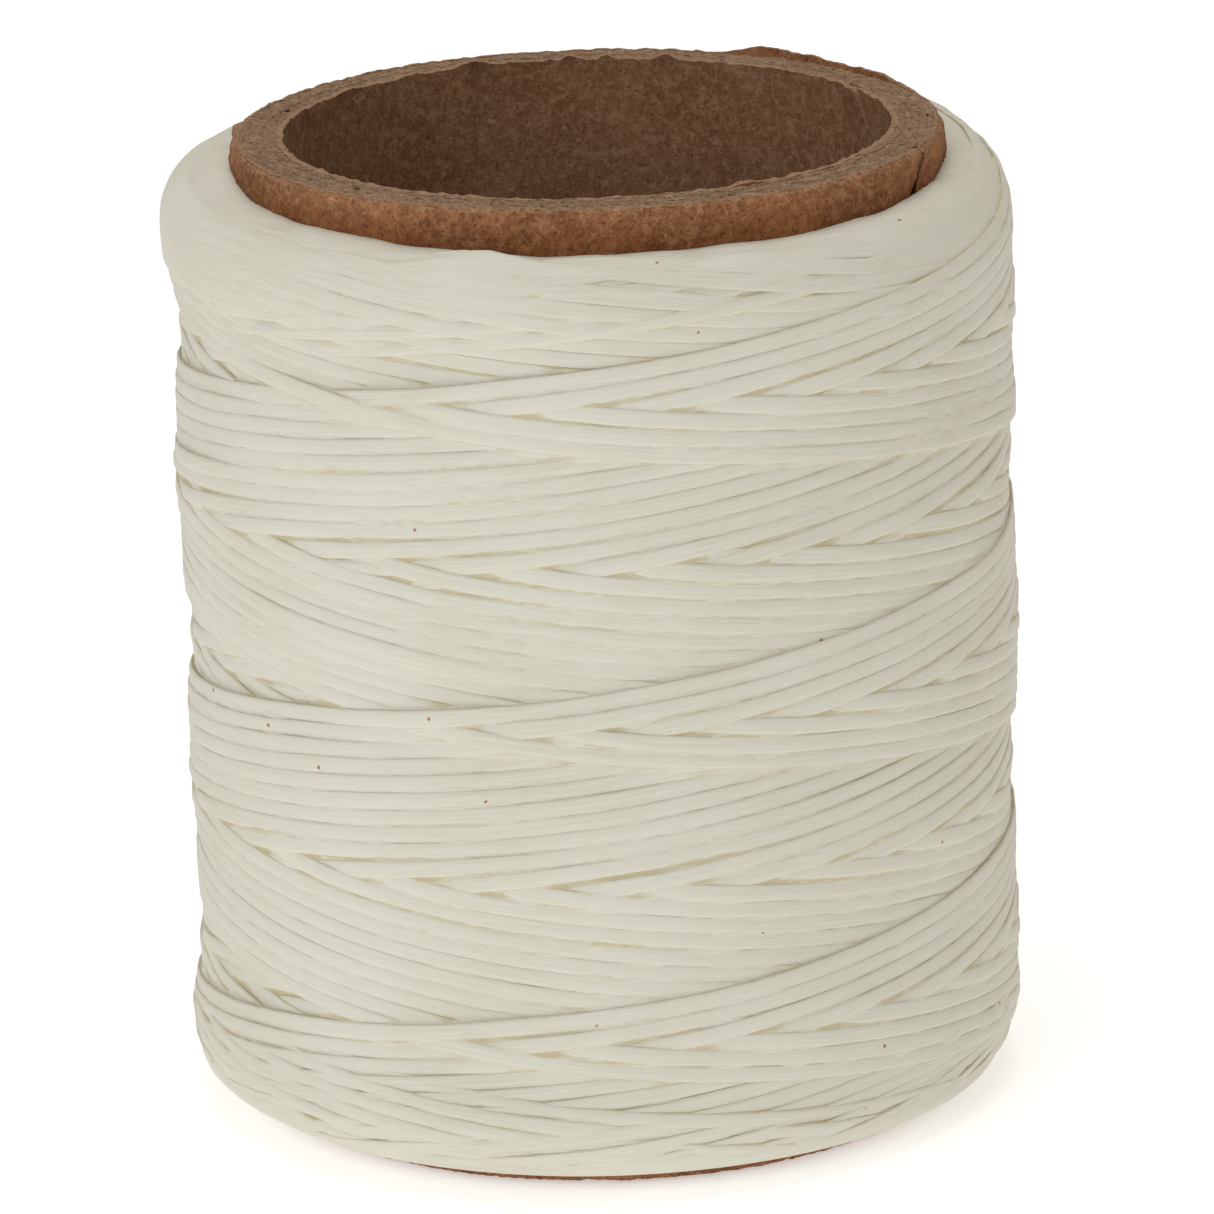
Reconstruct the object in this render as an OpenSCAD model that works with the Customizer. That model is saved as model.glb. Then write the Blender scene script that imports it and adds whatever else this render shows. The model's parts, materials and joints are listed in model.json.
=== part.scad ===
// Waxed thread spool: one length of waxed thread, cross-wound on a plain paper tube.
// The tube is spiral-wound from seven glued paper strips (plies). It has no flanges or caps.
// The thread is drawn as the successive covers that it makes as it goes to and fro along the tube.
// Origin: centre of the tube's bottom end. +Z runs up the tube's axis.

/* [Paper tube] */
// Diameter of the bore
tube_bore = 35; // [32:0.5:38]
// Length of the tube
tube_length = 57; // [52:0.5:65]
// Thickness of the smooth kraft liner that forms the bore
inner_liner_t = 0.4; // [0.3:0.05:0.6]
// Thickness of each of the five chipboard plies
body_ply_t = 0.42; // [0.35:0.01:0.5]
// Thickness of the rough kraft ply that the thread is wound on
outer_ply_t = 0.5; // [0.4:0.05:0.6]

/* [Strip seams] */
// Gap left where the two edges of a strip butt together
seam_gap = 0.25; // [0.15:0.05:0.4]
// Angle between a strip's edge and the tube's axis
seam_angle = 38; // [30:1:45]
// Azimuth of the bore liner's seam at the tube's top end
inner_seam_azimuth = 26; // [-180:1:180]
// Azimuth of the outer ply's seam at the tube's top end
outer_seam_azimuth = -21; // [-180:1:180]
// How far round each body ply's seam lies from that of the ply inside it
body_seam_stagger = 67; // [40:1:90]

/* [Thread winding] */
// Diameter of the full winding
winding_d = 48.8; // [46:0.2:52]
// How many times the thread covers the tube
covers = 2.85; // [2.2:0.05:2.95]
// Bare tube left above the winding
top_bare = 1.9; // [1:0.1:3]
// Bare tube left below the winding
bottom_bare = 0.8; // [0.5:0.1:3]
// Height over which the winding's shoulders round off
shoulder_h = 4.5; // [3:0.1:6]

/* [Hidden] */
$fn = 96;

bore_r = tube_bore / 2;
body_r = bore_r + inner_liner_t;
outer_ply_r = body_r + 5 * body_ply_t;
tube_r = outer_ply_r + outer_ply_t;
winding_r = winding_d / 2;

// The first two covers are whole. The last one stops part way through.
cover_t = (winding_r - tube_r) / covers;
cover_r = [tube_r, tube_r + cover_t, tube_r + 2 * cover_t, winding_r];
winding_bottom = bottom_bare;
winding_top = tube_length - top_bare;
shoulder_steps = 8;

// A seam is cut by short straight slots that follow the strip's helix.
seam_steps = 12;
seam_step = tube_length / seam_steps;
seam_slot_l = seam_step / cos(seam_angle) + 2 * seam_gap;
seam_turn = tan(seam_angle) * 180 / PI;
seam_overcut = 0.5;

// Azimuth, at height z on radius r, of a seam that reaches the top end at top_azimuth.
function seam_azimuth(top_azimuth, r, z) = top_azimuth - (tube_length - z) * seam_turn / r;

function backwards(points) = [for (p = [len(points) - 1:-1:0]) points[p]];

// Quarter-ellipse shoulder of a cover of radius r, from the tube outwards.
// edge_z is where the cover meets the tube, and inward is the way along the tube to its full radius.
function shoulder(r, edge_z, inward) =
    [for (i = [0:shoulder_steps])
        let (a = 90 * i / shoulder_steps)
        [tube_r + (r - tube_r) * sin(a), edge_z + inward * shoulder_h * (1 - cos(a))]];

// The outside of the winding at radius r, from its bottom edge to its top edge.
function winding_outline(r) =
    concat(shoulder(r, winding_bottom, 1), backwards(shoulder(r, winding_top, -1)));

module seam(r, t, top_azimuth) {
    for (i = [0:seam_steps - 1]) {
        z = (i + 0.5) * seam_step;
        rotate([0, 0, seam_azimuth(top_azimuth, r, z)])
            translate([r + t / 2, 0, z])
                rotate([-seam_angle, 0, 0])
                    cube([t + 2 * seam_overcut, seam_gap, seam_slot_l], center = true);
    }
}

// One strip of the tube, with inner radius r and thickness t.
module ply(r, t, top_azimuth) {
    difference() {
        cylinder(h = tube_length, r = r + t);
        translate([0, 0, -1])
            cylinder(h = tube_length + 2, r = r);
        seam(r, t, top_azimuth);
    }
}

module inner_liner() {
    color("#5a4330")
        ply(bore_r, inner_liner_t, inner_seam_azimuth);
}

module body_ply(number) {
    color("#86694f")
        ply(body_r + (number - 1) * body_ply_t, body_ply_t, inner_seam_azimuth + number * body_seam_stagger);
}

module outer_ply() {
    color("#8b6549")
        ply(outer_ply_r, outer_ply_t, outer_seam_azimuth);
}

module winding_cover(number) {
    inner_r = cover_r[number - 1];
    color("#dcd9c9")
        rotate_extrude()
            polygon(concat(
                winding_outline(cover_r[number]),
                inner_r > tube_r ? backwards(winding_outline(inner_r)) : []
            ));
}

inner_liner();
body_ply(1);  // body_ply_1
body_ply(2);  // body_ply_2
body_ply(3);  // body_ply_3
body_ply(4);  // body_ply_4
body_ply(5);  // body_ply_5
outer_ply();
winding_cover(1);  // winding_cover_1
winding_cover(2);  // winding_cover_2
winding_cover(3);  // winding_cover_3
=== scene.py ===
"""Looks of the waxed thread spool. The thread is wound turn by turn on a height map of the package, and
the tube's plies are remade with their torn edges, cut ends and seams.

Lengths are in millimetres until a mesh is made. Azimuths are in degrees, from 0 at the front. The height
map is an array indexed by degree round the tube and by GRID_CELL along it, and holds the height of the
winding's surface above the bare tube."""
import json
import math

import bpy
import numpy as np
from mathutils import Matrix, Vector, noise


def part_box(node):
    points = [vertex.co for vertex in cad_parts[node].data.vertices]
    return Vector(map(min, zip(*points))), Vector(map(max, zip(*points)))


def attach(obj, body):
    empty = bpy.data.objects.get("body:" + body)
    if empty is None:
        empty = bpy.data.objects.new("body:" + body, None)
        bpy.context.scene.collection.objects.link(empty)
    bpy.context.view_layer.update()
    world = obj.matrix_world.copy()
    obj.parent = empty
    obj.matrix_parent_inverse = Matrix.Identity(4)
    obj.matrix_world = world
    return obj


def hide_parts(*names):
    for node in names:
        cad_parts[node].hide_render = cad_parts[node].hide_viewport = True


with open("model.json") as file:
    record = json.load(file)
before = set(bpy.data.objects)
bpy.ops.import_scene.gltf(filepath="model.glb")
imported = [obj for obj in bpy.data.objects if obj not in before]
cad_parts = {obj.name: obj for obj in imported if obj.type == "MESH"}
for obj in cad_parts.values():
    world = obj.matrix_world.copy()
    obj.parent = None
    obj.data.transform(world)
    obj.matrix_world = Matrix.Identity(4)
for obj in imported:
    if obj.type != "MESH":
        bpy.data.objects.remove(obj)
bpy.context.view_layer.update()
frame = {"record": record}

MM = 0.001
SEED = 7

# ---------------------------------------------------------------- sizes read from the frame
BODY_PLIES = 5
TUBE_NODES = ["inner_liner"] + [f"body_ply_{i + 1}" for i in range(BODY_PLIES)] + ["outer_ply"]
WINDING_NODES = [f"winding_cover_{i}" for i in range(1, 4)]


def node_radius(node):
    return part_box(node)[1].x / MM


def node_top(node):
    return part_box(node)[1].z / MM


BORE_R = [m for m in frame["record"]["mounts"] if m["name"] == "tube_bore"][0]["dims"]["r_mm"]
TUBE_R = node_radius("outer_ply")
TUBE_L = node_top("outer_ply")
WINDING_R = node_radius("winding_cover_3")
WINDING_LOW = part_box("winding_cover_3")[0].z / MM
WINDING_HIGH = node_top("winding_cover_3")

# ---------------------------------------------------------------- the thread and how it is wound
THREAD_W = 0.95
THREAD_T = 0.72
PASSES = 54             # whole passes, each down the tube and back up, before the last part of one
TURNS_PER_TRAVERSE = 3
PASS_SHIFT = 19         # degrees by which each pass falls short of whole turns
LAST_REVERSAL = 145     # azimuth at which the last pass starts
LAST_STRETCH = 395      # degrees that the last pass covers before the thread ends
REVERSAL_HIGH = WINDING_HIGH + 0.7
REVERSAL_LOW = WINDING_LOW - 0.7
ROUNDING_HIGH = 45      # degrees over which the last pass turns back at the top
ROUNDINGS = (16, 60)    # the range of the same for the other turns back
MIDDLE = 28.0           # about half way up the winding
SHOULDER_H = 4.5        # height of a rounded shoulder along the tube
SHOULDER_ARC = 7.0      # length of the same along the winding's surface
SHOULDER_POWER = 2.7    # power of the superellipse that is its outline

GRID_CELL = 0.05
GRID_LOW = -4.0
GRID_ROWS = 1300
MAP_HEIGHTS = GRID_LOW + GRID_CELL * np.arange(GRID_ROWS)
DEGREES = np.arange(360)


def map_rows(z):
    """Rows of the height map that hold these heights along the tube."""
    return np.round((z - GRID_LOW) / GRID_CELL).astype(int)


def smooth_noise(rng, count, reach):
    """Random values that vary smoothly over about reach samples, with a deviation of 1."""
    kernel = np.hanning(2 * reach + 1)
    kernel /= math.sqrt((kernel * kernel).sum())
    return np.convolve(rng.standard_normal(count + 2 * reach), kernel, mode="valid")


def eased(share):
    """A share from 0 to 1 with its start and its end smoothed."""
    return share * share * (3 - 2 * share)


def ramped(value, start, over):
    """0 below start, rising evenly to 1 over the next stretch."""
    return np.clip((value - start) / over, 0, 1)


def running_mean(values, reach):
    """The mean of the values within reach samples of each one."""
    padded = np.pad(values, reach, mode="edge")
    total = np.cumsum(np.concatenate([[0], padded]))
    return (total[2 * reach + 1:] - total[:-2 * reach - 1]) / (2 * reach + 1)


def traverse(span, round_high, round_low):
    """Height and pace at each degree of a traverse from the top reversal to the bottom one. Turning back
    takes round_high degrees at the top and round_low at the bottom, where the pace falls to 0."""
    u = np.arange(span)
    v = span - u
    slope = (REVERSAL_HIGH - REVERSAL_LOW) / span
    z = REVERSAL_HIGH - slope * u
    z = np.where(u < round_high, REVERSAL_HIGH - slope * (u * u / round_high + round_high) / 2, z)
    z = np.where(v < round_low, REVERSAL_LOW + slope * (v * v / round_low + round_low) / 2, z)
    pace = np.clip(np.minimum(u / round_high, v / round_low), 0, 1)
    return z, pace


def unroll(z):
    """Heights along the tube, turned into distances along the package's outline over its two shoulders."""
    flat = z.copy()
    for edge, way in ((WINDING_HIGH, 1), (WINDING_LOW, -1)):
        begins = edge - way * SHOULDER_H
        past = way * (z - begins)
        turn = np.arcsin(np.clip(past / SHOULDER_H, 0, 1)) / (math.pi / 2)
        flat = np.where(past > 0, begins + way * SHOULDER_ARC * turn, flat)
    return flat


def pulled_taut(radius):
    """The line a thread takes, one degree a sample, when it is pulled tight over bumps of this radius."""
    angle = np.radians(np.arange(len(radius)))
    x, y = (radius * np.cos(angle)).tolist(), (radius * np.sin(angle)).tolist()
    touching = [0]
    for i in range(1, len(radius)):
        while len(touching) > 1:
            a, b = touching[-2:]
            if (x[b] - x[a]) * (y[i] - y[b]) > (y[b] - y[a]) * (x[i] - x[b]):
                break
            touching.pop()
        touching.append(i)
    line = radius.copy()
    for a, b in zip(touching[:-1], touching[1:]):
        if b - a > 1:
            t = angle[a:b + 1]
            chord = np.sin(angle[b] - t) / radius[a] + np.sin(t - angle[a]) / radius[b]
            line[a:b + 1] = np.sin(angle[b] - angle[a]) / chord
    return line


CROWN = 0.15            # how far the turns' tops stand above the package's mean radius
BOTTOM_TAPER = 0.25     # how much smaller the package's radius is near the bottom
TAPER_BEGINS = 20.0
PRESSED = 0.38          # share of its relief that the surface keeps when the turns are pressed flat
PRESSED_DEPTH = 0.8     # turns buried deeper than this are squeezed less
DEPTH_REGAINED = 1.2    # rate at which those go back to their own depth
PROUD = 0.18            # the most that a turn's middle stands above the surface round it
OVERSIZE = 0.5          # the most that a turn stands out past the winding's radius
SHOULDER_OVERSIZE = -0.02
HELD = (1.0, 54.5)      # heights beyond which the package's mean surface is carried on level
FLATNESS = 3.0          # power of the superellipse that is the thread's section
ACROSS = np.arange(-9, 10)
SECTION = (1 - np.abs(ACROSS * GRID_CELL / (THREAD_W / 2)) ** FLATNESS) ** (1 / FLATNESS)
TAUTNESS = 0.30         # how far the thread bridges the hollows under it
SINK = 0.11             # how far it presses into what it lies on
DRIFT = 0.07            # slow wander of a pass from its place
WANDER = 0.05           # quicker wander
SLIDES = np.arange(-7, 8)       # cells that a turn may slide sideways into a hollow
SLIDE_COST = 1.0
TURNING_THICKNESS = 0.4         # share of its thickness that the thread keeps where it turns back


def lay_leg(height, rng, column, z, pace):
    """Lays one traverse on the height map.
    Returns its place along the tube, its centreline's height above the tube, and half its thickness."""
    count = len(z)
    z = z + DRIFT * smooth_noise(rng, count, 170) + WANDER * smooth_noise(rng, count, 35)
    thickness = (THREAD_T / 2) * (TURNING_THICKNESS + (1 - TURNING_THICKNESS) * pace)
    section = thickness[:, None] * SECTION[None, :]
    column = column[:, None]

    def rests_on(place):
        rows = map_rows(place)[:, None] + ACROSS
        return rows, (height[column, rows] + section).max(axis=1)

    shifts = SLIDES * GRID_CELL
    costs = [running_mean(rests_on(z + shift)[1], 7) + SLIDE_COST * shift ** 2 for shift in shifts]
    slide = shifts[np.argmin(costs, axis=0)]
    z = z + running_mean(running_mean(slide, 10), 10)
    rows, bumps = rests_on(z)
    line = TAUTNESS * (pulled_taut(TUBE_R + bumps) - TUBE_R) + (1 - TAUTNESS) * running_mean(bumps, 4)
    line = np.maximum(running_mean(line, 3) - SINK, thickness)
    np.maximum.at(height, (column, rows), line[:, None] + section)
    return z, line, thickness


def wind_thread():
    """The whole thread's centreline, one degree a sample, and the height map that it leaves."""
    rng = np.random.default_rng(SEED)
    height = np.zeros((360, GRID_ROWS))
    total = 360 * 2 * TURNS_PER_TRAVERSE - PASS_SHIFT
    down = total // 2
    legs = []
    for number in range(PASSES + 1):
        start = LAST_REVERSAL + PASS_SHIFT * (PASSES - number)
        last = number == PASSES
        round_high = ROUNDING_HIGH if last else rng.uniform(*ROUNDINGS)
        round_low = rng.uniform(*ROUNDINGS)
        z, pace = traverse(down, round_high, round_low)
        if last:
            z, pace = z[:LAST_STRETCH], pace[:LAST_STRETCH]
        azimuth = start + np.arange(len(z))
        legs.append((azimuth, *lay_leg(height, rng, azimuth % 360, unroll(z), pace)))
        if not last:
            z, pace = traverse(total - down, round_high, round_low)
            azimuth = start + down + np.arange(len(z))
            legs.append((azimuth, *lay_leg(height, rng, azimuth % 360, unroll(z[::-1]), pace[::-1])))
    azimuth, z, line, thickness = (np.concatenate(part) for part in zip(*legs))
    return azimuth, z, line, thickness, height


def level_out(z, line, thickness, height):
    """Brings the package to its measured radius all along, which is a little less near the bottom."""
    mean = running_mean(height.mean(axis=0), 25)
    wanted = WINDING_R - TUBE_R - CROWN - BOTTOM_TAPER * ramped(-MAP_HEIGHTS, -TAPER_BEGINS, 6)
    grow = np.clip(wanted / np.maximum(mean, 0.5), 0.3, 1.6)
    grow = running_mean(grow, 12)
    rows = map_rows(z)
    return line * grow[rows], thickness * grow[rows], height * grow


def soften(field, around, along):
    """Running means of the height map round the tube and along it."""
    for _ in range(2):
        field = sum(np.roll(field, i, axis=0) for i in range(-around, around + 1)) / (2 * around + 1)
        field = np.apply_along_axis(running_mean, 1, field, along)
    return field


def press_flat(azimuth, z, line, thickness, height):
    """Squeezes the outermost turns flat, as waxed thread packs, and leaves the package's wider swells."""
    mean = soften(height, 6, 24)[:, np.clip(np.arange(GRID_ROWS), *map_rows(np.array(HELD)))]
    rows = map_rows(z)
    depth = mean[azimuth % 360, rows] - line
    depth = np.where(depth < 0, PROUD * np.tanh(depth / PROUD), depth)
    # nothing stands proud on the shoulders
    near_end = ramped(np.abs(z - MIDDLE), 20, 3)
    share = PRESSED * (1 - 0.6 * near_end)
    inner = share * PRESSED_DEPTH + (depth - PRESSED_DEPTH) * DEPTH_REGAINED
    pressed = np.where(depth < PRESSED_DEPTH, share * depth, np.minimum(inner, depth))
    line = mean[azimuth % 360, rows] - pressed
    thickness = thickness * np.where(depth < PRESSED_DEPTH, share, 1)
    oversize = OVERSIZE + (SHOULDER_OVERSIZE - OVERSIZE) * near_end
    line = np.minimum(line, WINDING_R - TUBE_R - thickness + oversize)
    return line, thickness, mean + PRESSED * (height - mean)


def shoulders(flat, line):
    """Wraps a level winding over the package's rounded shoulders.
    Returns height, radius, and the outward normal's parts along the radius and along the tube."""
    out_z, out_r = flat.copy(), TUBE_R + line
    normal_r, normal_z = np.ones_like(flat), np.zeros_like(flat)
    for edge, way in ((WINDING_HIGH, 1), (WINDING_LOW, -1)):
        begins = edge - way * SHOULDER_H
        past = way * (flat - begins)
        on = past > 0
        turn = np.clip(past[on] / SHOULDER_ARC, 0, 1) * math.pi / 2
        rise = np.maximum(SHOULDER_H - (WINDING_R - TUBE_R - line[on]), 0.4)
        out_z[on] = begins + way * rise * np.sin(turn)
        fall = (1 - np.sin(turn) ** SHOULDER_POWER) ** (1 / SHOULDER_POWER)
        out_r[on] = TUBE_R + line[on] * fall
        across = fall ** (SHOULDER_POWER - 1) / (WINDING_R - TUBE_R)
        along = np.sin(turn) ** (SHOULDER_POWER - 1) / SHOULDER_H
        size = np.hypot(across, along)
        normal_r[on], normal_z[on] = across / size, way * along / size
    return out_z, out_r, normal_r, normal_z


FRONT_DROP = 0.3        # how much lower the winding's top is at the front
BACK_CLIMB = 1.0        # how far it climbs from there to the back
BOTTOM_DROP = 0.05
RIPPLES = ((7, 0.07, 0), (17, 0.05, 1), (31, 0.04, 2))     # waves round the rim, their height and phase
LEFT, RIGHT = -85, 90   # azimuths
UPPER_BULGE = 0.5       # how far the winding's left side stands out near the top
LOWER_BULGE = 0.6       # and near the bottom


def off_level(azimuth, z):
    """How far the winding stands off level near its ends: its top climbs the tube towards the back."""
    share = eased(ramped(z, 40, WINDING_HIGH - 40))
    from_front = np.abs((azimuth + 175) % 360 - 180)
    climb = BACK_CLIMB * eased(ramped(from_front, 60, 60)) - FRONT_DROP
    turn = np.radians(azimuth)
    ripple = sum(rise * np.sin(waves * turn + phase) for waves, rise, phase in RIPPLES)
    return share * climb + ramped(z, 53.5, 2) * ripple - BOTTOM_DROP * np.clip(1 - z / 9, 0, 1)


def share_of_side(azimuth, side):
    """1 at the side given by its azimuth, falling to 0 opposite."""
    return 0.5 + 0.5 * np.cos(np.radians(azimuth - side))


def place_on_package(azimuth, flat, line):
    """Height, radius and outward normal of points of the winding, with its bulges and its uneven ends."""
    z, radius, normal_r, normal_z = shoulders(flat, line)
    bulge = UPPER_BULGE * ramped(z, 49, 4) + LOWER_BULGE * ramped(-z, -16, 7)
    bulge = bulge * share_of_side(azimuth, LEFT) ** 3
    radius = radius + bulge * ramped(radius, TUBE_R, WINDING_R - TUBE_R)
    return z + off_level(azimuth, z), radius, normal_r, normal_z


# ---------------------------------------------------------------- meshes
def mesh_object(name, points, faces, crease=None):
    """A smooth mesh of points in millimetres, with hard edges where it bends by more than crease degrees."""
    mesh = bpy.data.meshes.new(name)
    mesh.from_pydata((points * MM).tolist(), [], faces)
    mesh.validate()
    mesh.update()
    mesh.shade_smooth()
    if crease is not None:
        mesh.set_sharp_from_angle(angle=math.radians(crease))
    piece = bpy.data.objects.new(name, mesh)
    bpy.context.scene.collection.objects.link(piece)
    return piece


def add_attribute(piece, name, kind, values):
    """Stores a value for each of the piece's points, for its material to read."""
    attribute = piece.data.attributes.new(name, kind, "POINT")
    field = "value" if kind == "FLOAT" else "vector"
    attribute.data.foreach_set(field, np.asarray(values, np.float32).ravel())


def ring_quads(rings, size):
    """The quads that join each ring of points to the next, as an array with a row for each ring.
    The last row joins the last ring to the first."""
    first = np.arange(rings * size).reshape(rings, size)
    beside = np.roll(first, -1, axis=1)
    return np.stack([first, np.roll(first, -1, axis=0), np.roll(beside, -1, axis=0), beside], axis=2)


# ---------------------------------------------------------------- the thread
RING_ANGLES = np.radians([0, 30, 60, 90, 120, 150, 180, 225, 270, 315])
FINE_STEP = 6           # degrees between rings where the thread shows
COARSE_STEP = 30        # and where it is buried
SHOWN_DEPTH = 0.36      # a turn less deep than this may show


def thread_piece(azimuth, z, line, thickness, height):
    """The thread's mesh and its centreline, in millimetres."""
    depth = height[azimuth % 360, map_rows(z)] - (line + thickness)
    index = np.arange(len(z))
    shown = running_mean((depth < SHOWN_DEPTH).astype(float), COARSE_STEP // 2) > 0
    keep = (index % COARSE_STEP == 0) | (shown & (index % FINE_STEP == 0)) | (index == len(z) - 1)
    azimuth, z, line, thickness, depth = (a[keep] for a in (azimuth, z, line, thickness, depth))

    # no painted shade from depth on the shoulders, which are all one tone
    depth = depth * (1 - ramped(np.abs(z - MIDDLE), 23, 2))
    z, radius, normal_r, normal_z = place_on_package(azimuth, z, line)
    angle = np.radians(azimuth - 90)
    centre = np.stack([radius * np.cos(angle), radius * np.sin(angle), z], axis=1)
    normal = np.stack([normal_r * np.cos(angle), normal_r * np.sin(angle), normal_z], axis=1)
    tangent = np.gradient(centre, axis=0)
    tangent /= np.linalg.norm(tangent, axis=1, keepdims=True)
    side = np.cross(tangent, normal)
    side /= np.linalg.norm(side, axis=1, keepdims=True)
    normal = np.cross(side, tangent)

    rng = np.random.default_rng(SEED + 1)
    count, sides = len(z), len(RING_ANGLES)
    width = THREAD_W / 2 * (1.08 + 0.05 * smooth_noise(rng, count, 2))
    width = np.clip(width, THREAD_W * 0.46, THREAD_W * 0.62)
    thick = np.maximum(thickness, 0.15) * (1 + 0.05 * smooth_noise(rng, count, 3))
    ring_x, ring_y = (np.sign(way) * np.abs(way) ** (2 / FLATNESS)
                      for way in (np.cos(RING_ANGLES), np.sin(RING_ANGLES)))
    offset_x = width[:, None] * ring_x[None, :]
    offset_y = thick[:, None] * ring_y[None, :]
    across = offset_x[:, :, None] * side[:, None, :]
    outward = offset_y[:, :, None] * normal[:, None, :]
    points = centre[:, None, :] + across + outward

    quads = ring_quads(count, sides)[:-1].reshape(-1, 4)
    ends = [list(range(sides)), list(range(count * sides - 1, (count - 1) * sides - 1, -1))]
    piece = mesh_object("waxed_thread", points.reshape(-1, 3), quads.tolist() + ends)

    along = np.concatenate([[0], np.cumsum(np.linalg.norm(np.diff(centre, axis=0), axis=1))])
    strand = np.stack([np.repeat(along[:, None], sides, 1), offset_x, offset_y], axis=2)
    add_attribute(piece, "strand", "FLOAT_VECTOR", strand.reshape(-1, 3))
    # painted shade for the material to turn tan: more the deeper each point lies below the outside of the
    # winding, and more on the thread's sides and underside
    buried = 1.5 * np.clip(depth, 0, 3)[:, None] + 3.0 * thick[:, None] * (1 - ring_y[None, :])
    add_attribute(piece, "buried", "FLOAT", buried)
    return piece, centre


# ---------------------------------------------------------------- the wax between the turns
def spread(field, reach, pick):
    """The largest or smallest value within reach rows of each point of the height map."""
    padded = np.pad(field, ((0, 0), (reach, reach)), mode="edge")
    shifts = [padded[:, i:i + field.shape[1]] for i in range(2 * reach + 1)]
    return pick(shifts, axis=0)


def patches(rng, around, along):
    """Smooth random values over the height map, with a deviation of 1."""
    columns = 360 // around
    rows = GRID_ROWS // along + 3
    coarse = rng.standard_normal((columns, rows))
    coarse = np.repeat(np.repeat(coarse, around, axis=0), along, axis=1)[:, :GRID_ROWS]
    field = soften(coarse, around // 2, along // 2)
    return (field - field.mean()) / field.std()


FILM_STEP_AROUND = 2
FILM_STEP_ALONG = 4
FILM_REACH = 5          # rows over which wax bridges a hollow
SMEAR_REACH = 12        # rows over which smeared wax does
HOLLOW = 0.05           # how far the wax lies below the turns' tops
HOLLOW_UNEVEN = 0.02
WIDE_HOLLOW = 0.16      # the same across wide hollows near the top
SMEAR_TOP = 55.0        # above this height the wax is smeared over the turns
SMEAR_LEFT = 5.5        # how much further down it is smeared at the left
SMEAR_BOTTOM = 4.2      # below this height it is smeared too
WAX_TINT = 0.06         # how tan the wax is where it is thin
# painted shade in the hollows between turns
PAINTED_DEEP_SHADE = 4.5         # how much more tan it gets with each millimetre of depth


def smeared_share(uneven, left):
    """How far the wax is smeared over the turns, over the height map: most at the upper left."""
    upper = ramped(MAP_HEIGHTS[None, :], SMEAR_TOP - SMEAR_LEFT * left ** 2 + uneven, 3.0)
    lower = ramped(-MAP_HEIGHTS[None, :], -(SMEAR_BOTTOM + uneven), 4.0)
    return eased(np.maximum(upper, lower))


def smeared_skin(rng, height, left):
    """The surface of smeared wax, which follows the package's wider swells and hardly its turns."""
    full = WINDING_R - TUBE_R
    skin = full + 0.4 * (soften(spread(height, SMEAR_REACH, np.max), 8, 16) - full)
    skin = np.maximum(skin, full - 0.2)
    rim = ramped(np.abs(MAP_HEIGHTS - MIDDLE), 25.5, 2.0)[None, :]
    skin = skin * (1 - rim) + np.maximum(skin, full) * rim
    right = share_of_side(DEGREES, RIGHT)[:, None]
    lift = np.where(MAP_HEIGHTS[None, :] > MIDDLE, -0.46 + 0.58 * left ** 3 + 0.24 * right ** 3, 0.0)
    return skin + lift + HOLLOW_UNEVEN * patches(rng, 12, 20)


def wax_surface(height):
    """The wax's own height map, and how tan it is: a slight tint of its own, and painted shade that is the
    more, the deeper it lies between turns.
    """
    rng = np.random.default_rng(SEED + 2)
    filled = spread(spread(height, FILM_REACH, np.max), FILM_REACH, np.min)
    gap = soften(filled - height, 1, 2)
    filled = soften(filled, 1, 2)
    hollow = HOLLOW + HOLLOW_UNEVEN * patches(rng, 18, 10) + HOLLOW_UNEVEN * patches(rng, 6, 8)
    hollow = np.clip(hollow, 0.02, 0.15) + 0.25 * np.clip(gap - 0.2, 0, 1)
    left = share_of_side(DEGREES, LEFT + 5)[:, None]
    smear = smeared_share(0.6 * patches(rng, 12, 20), left)
    skin = smeared_skin(rng, height, left)
    surface = (filled - hollow) * (1 - smear) + skin * smear
    # no deep hollows are left open near the top
    high = ramped(MAP_HEIGHTS, 48.5, 2)[None, :]
    wide = spread(spread(height, SMEAR_REACH, np.max), SMEAR_REACH, np.min)
    surface = np.maximum(surface, np.maximum(skin, soften(wide, 1, 2) - WIDE_HOLLOW) * high)
    # painted shade: tan where the wax lies deep in the hollows between turns, added to its own slight tint
    depth = np.clip(gap, 0, 0.3) * np.clip((filled - surface) / hollow, 0, 1)
    return surface, WAX_TINT + PAINTED_DEEP_SHADE * depth * (1 - smear) * (1 - 0.75 * high)


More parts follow.
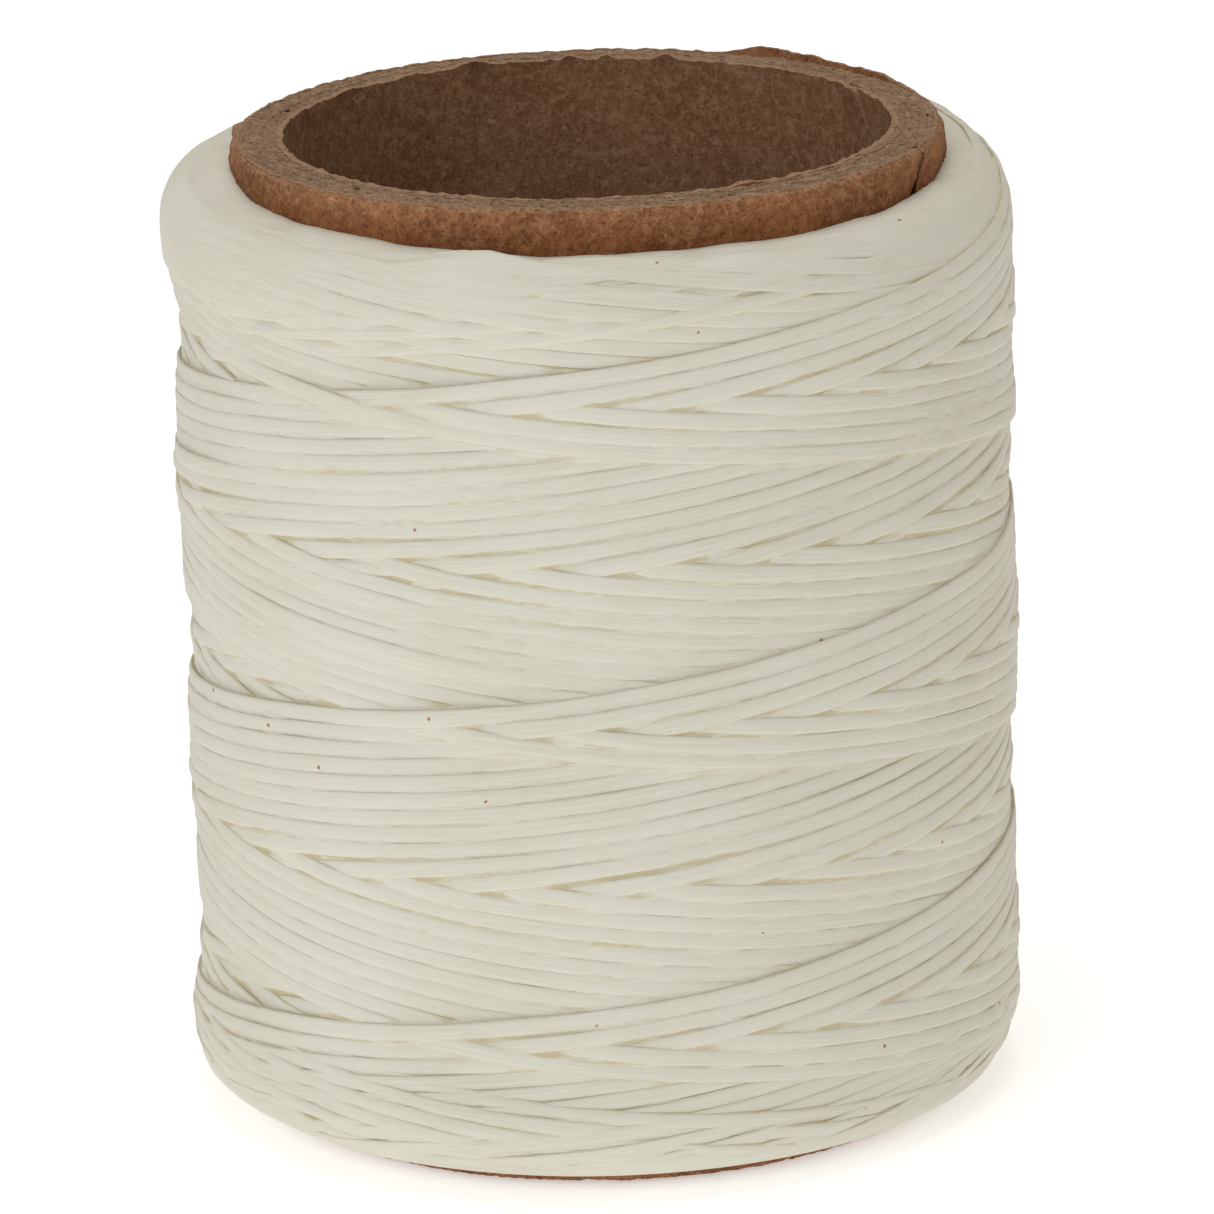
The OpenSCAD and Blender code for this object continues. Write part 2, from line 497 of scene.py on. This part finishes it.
def wax_film(height):
    """The wax that fills the hollows between the turns, as one closed sleeve round the tube."""
    surface, tint_and_shade = wax_surface(height)
    first = map_rows(WINDING_LOW + SHOULDER_H - SHOULDER_ARC)
    last = map_rows(WINDING_HIGH - SHOULDER_H + SHOULDER_ARC)
    rows = np.append(np.arange(first, last, FILM_STEP_ALONG), last)
    columns = np.arange(0, 360, FILM_STEP_AROUND)
    surface, tint_and_shade = surface[np.ix_(columns, rows)], tint_and_shade[np.ix_(columns, rows)]
    around, along = len(columns), len(rows)
    turn = np.repeat(columns, along)
    z, radius, _, _ = place_on_package(turn, np.tile(MAP_HEIGHTS[rows], around), surface.ravel())
    angle = np.radians(turn - 90)
    outside = np.stack([radius * np.cos(angle), radius * np.sin(angle), z], axis=1).reshape(around, along, 3)
    # the sleeve's inside, just under the tube's surface
    inside = outside[:, [-1, 0]].copy()
    inside[:, :, :2] *= (TUBE_R - 0.1) / TUBE_R
    points = np.concatenate([outside, inside], axis=1)
    quads = ring_quads(around, along + 2).reshape(-1, 4)
    piece = mesh_object("thread_wax", points.reshape(-1, 3), quads.tolist())
    # measured out and back from one side, so that the grain has no seam
    from_side = np.abs((turn + 60) % 360 - 180)
    strand = np.stack([np.radians(from_side) * WINDING_R, z, 0 * z], axis=1).reshape(around, along, 3)
    add_attribute(piece, "strand", "FLOAT_VECTOR", np.concatenate([strand, strand[:, :2]], axis=1))
    # the wax's own tint and its painted shade
    add_attribute(piece, "buried", "FLOAT", np.concatenate([tint_and_shade, tint_and_shade[:, :2]], axis=1))
    return piece


# ---------------------------------------------------------------- the paper tube
SEAM_GAP = 0.45
OUTER_SEAM_GAP = 0.75
STRIP_ANGLE = 38        # degrees from level at which the strips are wound
LINER_SEAM = 26         # the seams' directions at the top, in degrees from the right
OUTER_SEAM = -22
SEAM_STEP = 67          # degrees from one ply's seam to the next
BURR = -189             # direction of a swollen spot on the outer ply's edge
HOLLOW_LEAN = 2.25      # degrees that the outer seam turns in each millimetre, as the ply below sees it

# direction and width in degrees, and height, of the torn tags on the liner's upper edge
LINER_TAGS = [(112, 7, 0.35), (93, 2.5, 0.30), (86, 2, 0.25), (74, 4, 0.3), (143, 5, 0.2), (-60, 4, 0.15)]
# the same for the outer ply
OUTER_TAGS = [(58, 9, 0.55), (48, 10, 0.4), (34, 14, 0.3), (-170, 4, 0.2), (-100, 6, 0.12)]

AROUND = 700            # steps round a ply
OUTER_AROUND = 900
OUTER_CREASE = 75       # degrees beyond which the outer ply's edges stay hard


def fractal(point, scale):
    """Rough noise between about -1 and 1, with features of this size."""
    return noise.fractal(Vector(point) / scale, 1.0, 2.0, 3)


def seam_lean(radius):
    """Degrees that a seam turns in each millimetre down the tube."""
    return math.degrees(math.tan(math.radians(STRIP_ANGLE)) / radius)


def tube_ply(name, inner, outer, seam, levels, around, across, shape, crease=50, seam_gap=SEAM_GAP):
    """One strip of the tube, bent round on itself, with its two edges facing each other across the seam.
    levels are the heights of its rows, and shape(point, kind, radius, angle) moves each point."""
    gap = math.degrees(seam_gap / outer)
    radii = np.linspace(inner, outer, across + 1)
    loop = [(inner, z, "inside") for z in levels]
    loop += [(r, TUBE_L, "top") for r in radii[1:-1]]
    loop += [(outer, z, "outside") for z in reversed(levels)]
    loop += [(r, 0.0, "bottom") for r in reversed(radii[1:-1])]
    points = []
    for step in range(around + 1):
        frayed = max(0, 1 - min(step, around - step) / 5)
        for r, z, kind in loop:
            turn = seam - (TUBE_L - z) * seam_lean(inner) + gap / 2 + step / around * (360 - gap)
            if frayed:
                turn += frayed * 0.5 * gap * fractal((step, r, z), 0.5)
            a = math.radians(turn)
            points.append(shape(np.array([r * math.cos(a), r * math.sin(a), z]), kind, r, a))
    size = len(loop)
    quads = ring_quads(around + 1, size)[:-1, :, [0, 3, 2, 1]].reshape(-1, 4)
    ends = [list(range(size - 1, -1, -1)), list(range(around * size, (around + 1) * size))]
    return mesh_object(name, np.array(points), quads.tolist() + ends, crease)


def angle_from(angle, centre):
    """Degrees between an angle in radians and a centre in degrees."""
    return abs((math.degrees(angle) - centre + 180) % 360 - 180)


def bump(angle, centre, width):
    """1 at a centre in degrees, falling smoothly to 0 at width away from it."""
    return (math.cos(math.pi * min(angle_from(angle, centre) / width, 1)) + 1) / 2


def tags_at(angle, tags):
    """How high the torn tags stand at an angle."""
    return sum(rise * bump(angle, centre, width) for centre, width, rise in tags)


def below_top(point, reach):
    """1 at the tube's top, falling to 0 at reach below it."""
    return max(0.0, 1 - (TUBE_L - point[2]) / reach)


def at_top(point):
    """Whether a point belongs to the tube's top end."""
    return point[2] > TUBE_L - 0.01


def at_bottom(point):
    """Whether a point belongs to the end that the tube stands on."""
    return point[2] < 0.01


def cut_roughness(point):
    """How far a cut end strays from its plane."""
    return 0.08 * fractal(point, 0.4) + 0.09 * fractal(point, 1.3) + 0.07 * fractal(point, 9)


def rough_bottom(point):
    """How far the bottom end's fibres are worn back from the plane that the tube stands on."""
    return abs(cut_roughness(point)) * 0.6


def move_out(point, radius, distance):
    """Moves a point away from the tube's axis."""
    point[:2] *= (radius + distance) / radius


def shape_body(number):
    """The shape function of a body ply: the last one is hollow behind the outer ply's open seam."""
    settle = 0.02 * math.sin(number * 2.4)

    def shape(point, kind, radius, angle):
        if number == BODY_PLIES and kind == "outside" and point[2] > TUBE_L - 4:
            lean = (TUBE_L - point[2]) * HOLLOW_LEAN
            move_out(point, radius, -0.5 * bump(angle, OUTER_SEAM - lean, 2.5))
        if at_top(point):
            point[2] += cut_roughness(point) - 0.04 + settle
        elif at_bottom(point):
            point[2] += rough_bottom(point)
        return point
    return shape


def shape_liner(point, kind, radius, angle):
    """Tears the liner's upper edge into the bore and lifts one edge of its seam."""
    high = below_top(point, 2.0)
    inward = 0.04 * fractal(point, 5) + 0.08 * high * fractal(point, 0.9)
    if at_top(point):
        tag = tags_at(angle, LINER_TAGS)
        torn = max(0.0, fractal(point, 0.8)) * 0.1
        point[2] += 0.6 * (cut_roughness(point) - 0.04) + torn + tag
        inward += 0.5 * tag
    elif at_bottom(point):
        point[2] += rough_bottom(point)
    inward += 0.4 * high * bump(angle, LINER_SEAM + 2, 3)
    move_out(point, radius, -max(inward, -0.05) * (1 if kind == "inside" else 0.6))
    return point


def shape_outer(point, kind, radius, angle):
    """Gives the outer ply its lumpy face, rolled upper edge and torn tags."""
    if kind != "inside":
        high = below_top(point, 0.9)
        swell = 0.16 * fractal(point, 2.2) + 0.09 * fractal(point, 0.5)
        swell += high * 0.5 * bump(angle, BURR, 4) - 0.35 * max(0.0, high - 0.25) ** 2
        move_out(point, radius, swell * (1.0 if kind == "outside" else 0.5))
    if at_top(point):
        round_off = 0.12 if kind == "outside" else 0.0
        rough = 0.5 * (cut_roughness(point) - 0.04) + 0.07 * fractal(point, 0.9)
        point[2] += rough + tags_at(angle, OUTER_TAGS) - round_off
    elif at_bottom(point):
        point[2] += rough_bottom(point)
    return point


def levels_between(*bands):
    """Heights of rows, from (low, high, step) bands that follow each other."""
    rows = []
    for low, high, step in bands:
        rows += list(np.linspace(low, high, max(2, int(round((high - low) / step)) + 1))[:-1])
    return rows + [bands[-1][1]]


def tube_pieces():
    """Every ply of the tube, each with the CAD node that it replaces."""
    pieces = []
    inner = BORE_R
    for number, node in enumerate(TUBE_NODES):
        outer = node_radius(node)
        if node == "inner_liner":
            levels = levels_between((0, 1.5, 0.5), (1.5, TUBE_L - 3, 2), (TUBE_L - 3, TUBE_L, 0.25))
            piece = tube_ply("kraft_inner_liner", inner, outer, LINER_SEAM, levels, AROUND, 2, shape_liner)
        elif node == "outer_ply":
            levels = levels_between((0, 1.6, 0.2), (1.6, TUBE_L - 4, 3), (TUBE_L - 4, TUBE_L, 0.17))
            piece = tube_ply("kraft_outer_ply", inner, outer, OUTER_SEAM, levels, OUTER_AROUND, 3,
                             shape_outer, OUTER_CREASE, OUTER_SEAM_GAP)
        else:
            levels = levels_between((0, 0.4, 0.4), (0.4, TUBE_L - 3, 3), (TUBE_L - 3, TUBE_L, 0.5))
            seam = LINER_SEAM + SEAM_STEP * number
            name = f"chipboard_ply_{number}"
            piece = tube_ply(name, inner, outer, seam, levels, AROUND, 3, shape_body(number))
        pieces.append((piece, node))
        inner = outer
    return pieces


# ---------------------------------------------------------------- materials
class Nodes:
    """Short hand for building one material's node tree."""

    def __init__(self, name):
        """Starts the material, with a Principled shader."""
        self.material = bpy.data.materials.new(name)
        self.material.use_nodes = True
        self.tree = self.material.node_tree
        self.shader = self.tree.nodes["Principled BSDF"]

    def add(self, kind, inputs=None, **settings):
        """Adds a node, with values or links for its inputs."""
        node = self.tree.nodes.new(kind)
        for key, value in settings.items():
            setattr(node, key, value)
        for key, value in (inputs or {}).items():
            self.put(node, key, value)
        return node

    def put(self, node, key, value):
        """Gives one input a link or a value."""
        socket = node.inputs[key]
        if isinstance(value, bpy.types.NodeSocket):
            self.tree.links.new(value, socket)
        else:
            socket.default_value = value

    def noise(self, vector, scale, detail=4.0, rough=0.6):
        """Smooth noise over a position. scale is its features to the unit, as one number or three."""
        inputs = {"Vector": self.scaled(vector, scale), "Scale": 1.0, "Detail": detail, "Roughness": rough}
        return self.add("ShaderNodeTexNoise", inputs).outputs["Fac"]

    def ramp(self, fac, *stops):
        """Turns a factor into a share or a colour, from (place, share or colour) stops."""
        node = self.add("ShaderNodeValToRGB", {"Fac": fac})
        elements = node.color_ramp.elements
        while len(elements) < len(stops):
            elements.new(0.5)
        for element, (place, colour) in zip(elements, stops):
            element.position = place
            element.color = (*colour, 1) if isinstance(colour, tuple) else (colour, colour, colour, 1)
        return node.outputs["Color"]

    def mix(self, fac, a, b, blend="MIX"):
        """Colour a where the factor is 0 and b where it is 1."""
        node = self.add("ShaderNodeMix", data_type="RGBA", blend_type=blend)
        for index, value in ((0, fac), (6, a), (7, b)):
            if isinstance(value, bpy.types.NodeSocket):
                self.tree.links.new(value, node.inputs[index])
            else:
                node.inputs[index].default_value = (*value, 1) if isinstance(value, tuple) else value
        return node.outputs[2]

    def math(self, operation, a, b=0.0):
        """One operation on one or two numbers."""
        node = self.add("ShaderNodeMath", operation=operation)
        for index, value in ((0, a), (1, b)):
            if isinstance(value, bpy.types.NodeSocket):
                self.tree.links.new(value, node.inputs[index])
            else:
                node.inputs[index].default_value = value
        return node.outputs[0]

    def scaled(self, vector, scale):
        """A position times one number or three."""
        node = self.add("ShaderNodeVectorMath", {0: vector}, operation="MULTIPLY")
        node.inputs[1].default_value = scale if isinstance(scale, tuple) else (scale, scale, scale)
        return node.outputs[0]

    def bump(self, height, strength, distance, normal=None):
        """Relief of this depth, in metres, on top of any relief before it."""
        inputs = {"Height": height, "Strength": strength, "Distance": distance}
        if normal is not None:
            inputs["Normal"] = normal
        return self.add("ShaderNodeBump", inputs).outputs["Normal"]

    def position(self):
        """The place on the object, in metres."""
        return self.add("ShaderNodeNewGeometry").outputs["Position"]

    def finish(self, **sockets):
        """Sets the shader's own inputs and returns the material."""
        for key, value in sockets.items():
            self.put(self.shader, key.replace("_", " "), value)
        return self.material


def srgb(r, g, b):
    """A colour given as 0 to 255 sRGB, in linear light."""
    def linear(c):
        c /= 255
        return c / 12.92 if c <= 0.04045 else ((c + 0.055) / 1.055) ** 2.4
    return (linear(r), linear(g), linear(b))


def thread_material():
    """Ivory waxed thread, with painted shade that turns it tan where it lies deep and on its sides and
    underside, with fibres along it and a few brown specks.
    """
    n = Nodes("waxed_thread")
    strand = n.add("ShaderNodeAttribute", attribute_name="strand").outputs["Vector"]
    buried = n.add("ShaderNodeAttribute", attribute_name="buried").outputs["Fac"]
    place = n.position()

    fibre = n.noise(strand, (0.22, 9.0, 9.0), 3.0)
    filament = n.noise(strand, (0.5, 26.0, 26.0), 2.0, 0.5)
    wax = n.noise(place, 420)
    smear = n.noise(place, 90, 2.0, 0.5)

    ivory = n.mix(n.ramp(smear, (0.35, 0.0), (0.65, 1.0)), srgb(211, 206, 188), srgb(218, 214, 199))
    ivory = n.mix(n.ramp(fibre, (0.35, 0.0), (0.7, 1.0)), ivory, srgb(221, 218, 205))
    uneven = n.noise(strand, (1.2, 4.0, 4.0), 3.0)
    uneven = n.math("MULTIPLY", n.math("SUBTRACT", uneven, 0.5), 0.7)
    # painted shade: tan in the hollows and on the thread's sides and underside, made uneven by random tone
    tan = n.ramp(n.math("ADD", buried, uneven), (0.2, 0.0), (0.6, 0.8), (1.0, 1.0))
    colour = n.mix(tan, ivory, srgb(195, 182, 144))

    specks = n.add("ShaderNodeTexVoronoi", {"Vector": n.scaled(place, 330), "Scale": 1.0})
    dot = n.ramp(specks.outputs["Distance"], (0.03, 1.0), (0.05, 0.0))
    rare = n.ramp(n.noise(place, 700, 0.0), (0.53, 0.0), (0.56, 1.0))
    colour = n.mix(n.math("MULTIPLY", dot, rare), colour, srgb(172, 116, 84))

    rough = n.ramp(wax, (0.3, 0.65), (0.7, 0.85))
    grain = n.bump(fibre, 0.5, 0.00006)
    grain = n.bump(filament, 0.4, 0.00004, grain)
    grain = n.bump(wax, 0.4, 0.00006, grain)
    return n.finish(Base_Color=colour, Roughness=rough, Normal=grain, Specular_IOR_Level=0.25)


def fibres(n, place, scale, width, share):
    """Thin wavy lines, broken into short lengths: 1 on a fibre and 0 off it."""
    field = n.noise(place, scale, 1.5, 0.5)
    line = n.math("LESS_THAN", n.math("ABSOLUTE", n.math("SUBTRACT", field, 0.5)), width)
    breaks = n.noise(place, scale * 1.3, 1.0, 0.5)
    return n.math("MULTIPLY", line, n.math("GREATER_THAN", breaks, 1 - share))


STAIN_FADE = 0.0016
UPPER_HALF = 0.03
STAIN_TINT = (0.66, 0.52, 0.36)


def kraft_material(name, dark, mid, light, fleck, relief, pitted, cut=None, stained_below=None):
    """Paper of pressed fibres. dark, mid and light are its colours, and fleck that of its pits and specks.
    relief is the height of its grain and pitted the strength of its pits. cut is its colour where it is cut
    across, and stained_below the height, in the upper half, below which wax has darkened it."""
    n = Nodes(name)
    place = n.position()
    cloud = n.noise(place, 170, 3.0)
    mottle = n.noise(place, 1700, 4.0, 0.65)
    pits = n.noise(place, 2900, 2.0)
    grain = n.noise(place, 5200, 3.0, 0.7)
    colour = n.mix(n.ramp(cloud, (0.25, 0.0), (0.75, 1.0)), dark, mid)
    if cut is not None:
        upward = n.add("ShaderNodeSeparateXYZ", {0: n.add("ShaderNodeNewGeometry").outputs["True Normal"]})
        facing = n.math("ABSOLUTE", upward.outputs[2])
        colour = n.mix(n.ramp(facing, (0.45, 0.0), (0.75, 1.0)), colour, cut)
    colour = n.mix(n.ramp(mottle, (0.45, 0.0), (0.72, 0.55)), colour, light)
    colour = n.mix(n.ramp(pits, (0.34, pitted), (0.42, 0.0)), colour, fleck)
    colour = n.mix(n.ramp(grain, (0.30, 0.8), (0.46, 0.0)), colour, fleck)
    colour = n.mix(n.ramp(grain, (0.56, 0.0), (0.72, 0.5)), colour, light)
    long_fibres = fibres(n, place, 620, 0.0045, 0.5)
    short_fibres = fibres(n, place, 1500, 0.007, 0.45)
    colour = n.mix(n.math("MULTIPLY", long_fibres, 0.55), colour, light)
    colour = n.mix(n.math("MULTIPLY", short_fibres, 0.45), colour, light)
    if stained_below is not None:
        along = n.add("ShaderNodeSeparateXYZ", {0: place}).outputs[2]
        edge = n.math("ADD", n.math("DIVIDE", n.math("SUBTRACT", stained_below, along), STAIN_FADE), 0.2)
        wavy = n.math("ADD", edge, n.math("MULTIPLY", n.math("SUBTRACT", cloud, 0.5), 2.4))
        stain = n.ramp(wavy, (0.0, 0.0), (1.0, 0.75))
        stain = n.math("MULTIPLY", stain, n.math("GREATER_THAN", along, UPPER_HALF))
        colour = n.mix(stain, colour, STAIN_TINT, "MULTIPLY")
    surface = n.bump(mottle, 0.6, relief)
    surface = n.bump(pits, 0.6, relief * pitted, surface)
    surface = n.bump(grain, 0.5, relief / 2, surface)
    surface = n.bump(long_fibres, 0.4, relief / 4, surface)
    rough = n.ramp(grain, (0.3, 0.8), (0.7, 0.98))
    return n.finish(Base_Color=colour, Roughness=rough, Normal=surface, Specular_IOR_Level=0.2)


# ---------------------------------------------------------------- studio
TARGET = Vector((0.00037, 0, 0.0281))   # the point that the camera looks at
DISTANCE = 0.4833
ELEVATION = 16.5
ROLL = -1.64
LENS = 244.8
SENSOR = 36
LAMP_AIM = Vector((0, 0, 0.03))
FLOOR_SIZE = 3000.0
FLOOR_GAP = 0.0002      # keeps the floor just clear of the tube's end


def add_camera():
    """The photo's viewpoint: in front, a little above, and far off."""
    data = bpy.data.cameras.new("camera")
    data.lens = LENS
    data.sensor_width = SENSOR
    data.clip_start = 0.01
    camera = bpy.data.objects.new("camera", data)
    tilt = math.radians(ELEVATION)
    camera.location = TARGET + DISTANCE * Vector((0, -math.cos(tilt), math.sin(tilt)))
    aim = (TARGET - camera.location).to_track_quat("-Z", "Y").to_matrix().to_4x4()
    roll = Matrix.Rotation(math.radians(ROLL), 4, "Z")
    camera.matrix_world = Matrix.Translation(camera.location) @ aim @ roll
    bpy.context.scene.collection.objects.link(camera)
    bpy.context.scene.camera = camera


def add_lamp(name, place, size, power, colour=(1, 1, 1)):
    """A soft round lamp that shines on the middle of the object."""
    data = bpy.data.lights.new(name, "AREA")
    data.shape = "DISK"
    data.size = size
    data.energy = power
    data.color = colour
    lamp = bpy.data.objects.new(name, data)
    lamp.location = place
    lamp.rotation_euler = (LAMP_AIM - lamp.location).to_track_quat("-Z", "Y").to_euler()
    bpy.context.scene.collection.objects.link(lamp)


def add_studio():
    """Soft light from all round, a key lamp at the front left, one above, and a pale floor."""
    world = bpy.data.worlds.new("studio")
    world.use_nodes = True
    world.node_tree.nodes["Background"].inputs["Color"].default_value = (1, 0.965, 0.88, 1)
    world.node_tree.nodes["Background"].inputs["Strength"].default_value = 0.40
    bpy.context.scene.world = world
    bpy.context.scene.view_settings.view_transform = "Standard"
    add_lamp("key_lamp", (-0.37, -0.69, 0.36), 0.6, 2.04, (0.85, 0.91, 1.0))
    add_lamp("top_lamp", (0.0, 0.05, 0.75), 0.5, 1.8)

    corners = np.array([(-1, -1, 0), (1, -1, 0), (1, 1, 0), (-1, 1, 0)]) * FLOOR_SIZE
    floor = mesh_object("floor", corners, [[0, 1, 2, 3]])
    floor.location.z = -FLOOR_GAP
    n = Nodes("floor")
    floor.data.materials.append(n.finish(Base_Color=(0.95, 0.95, 0.95, 1), Roughness=0.8,
                                         Emission_Color=(1, 1, 1, 1), Emission_Strength=0.4))


# ---------------------------------------------------------------- the object
def add_winding():
    """The thread and the wax between its turns."""
    azimuth, level, line, thickness, height = wind_thread()
    line, thickness, height = level_out(level, line, thickness, height)
    line, thickness, height = press_flat(azimuth, level, line, thickness, height)
    waxed_thread = thread_material()
    thread, centreline = thread_piece(azimuth, level, line, thickness, height)
    thread.data.materials.append(waxed_thread)
    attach(thread, "root")
    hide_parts(*WINDING_NODES)

    film = wax_film(height)
    film.data.materials.append(waxed_thread)
    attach(film, "root")


def add_tube():
    """The tube's plies, each in its own paper."""
    cut_paper = srgb(152, 121, 95)
    liner = kraft_material("kraft_liner", srgb(119, 81, 51), srgb(139, 102, 72), srgb(182, 146, 114),
                           srgb(68, 44, 26), 0.00008, 0.15, cut_paper)
    outer = kraft_material("kraft_outer", srgb(104, 60, 30), srgb(168, 115, 77), srgb(196, 148, 112),
                           srgb(72, 40, 20), 0.00022, 0.35, cut_paper, 0.0563)
    chipboard = kraft_material("chipboard", srgb(130, 101, 76), cut_paper, srgb(190, 161, 133),
                               srgb(74, 50, 36), 0.00030, 0.7)
    papers = {"kraft_liner": liner, "kraft_outer": outer, "chipboard": chipboard}
    slots = {row["node"]: row["material_slot"] for row in frame["record"]["subparts"]}
    for piece, node in tube_pieces():
        piece.data.materials.append(papers[slots[node]])
        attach(piece, "root")
        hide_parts(node)


add_camera()
add_studio()
add_winding()
add_tube()
